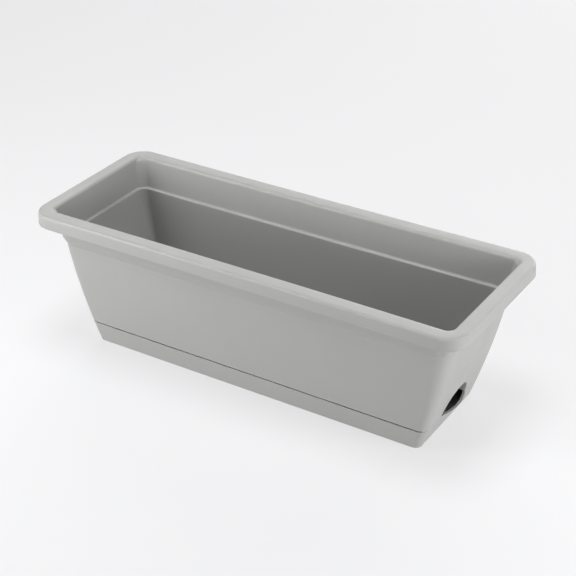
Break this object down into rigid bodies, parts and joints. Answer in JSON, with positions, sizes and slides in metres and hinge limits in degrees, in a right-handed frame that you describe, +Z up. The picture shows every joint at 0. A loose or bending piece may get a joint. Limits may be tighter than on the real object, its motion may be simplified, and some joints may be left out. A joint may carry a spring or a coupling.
{
  "type": "self-watering window box planter",
  "caption": "Long tapered grey plastic planter trough with a wide rim, standing on a flush water tray with a filling port at one end and slotted wick cups in its floor.",
  "frame": {"origin": "centre of the footprint on the surface that the planter stands on", "axes": "+X along the length towards the filling port, +Y across to the back, +Z up"},
  "size_m": [0.6, 0.229, 0.1893],
  "materials": {
    "trough_plastic": "fine matte moulding grain",
    "tray_plastic": "fine matte moulding grain",
    "cup_plastic": "matte"
  },
  "bodies": {
    "tray": {"reservoir_tray": "tray_plastic"},
    "trough": {"planter_trough": "trough_plastic"},
    "cup_1": {"wick_cup_1": "cup_plastic"},
    "cup_2": {"wick_cup_2": "cup_plastic"},
    "cup_3": {"wick_cup_3": "cup_plastic"},
    "cup_4": {"wick_cup_4": "cup_plastic"}
  },
  "joints": [
    {"name": "trough_lift", "type": "slide", "parent": "tray", "child": "trough", "axis": [0, 0, 1], "range_m": [0, 0.1]},
    {"name": "cup_1_lift", "type": "slide", "parent": "trough", "child": "cup_1", "axis": [0, 0, 1], "range_m": [0, 0.2]},
    {"name": "cup_2_lift", "type": "slide", "parent": "trough", "child": "cup_2", "axis": [0, 0, 1], "range_m": [0, 0.2]},
    {"name": "cup_3_lift", "type": "slide", "parent": "trough", "child": "cup_3", "axis": [0, 0, 1], "range_m": [0, 0.2]},
    {"name": "cup_4_lift", "type": "slide", "parent": "trough", "child": "cup_4", "axis": [0, 0, 1], "range_m": [0, 0.2]}
  ]
}
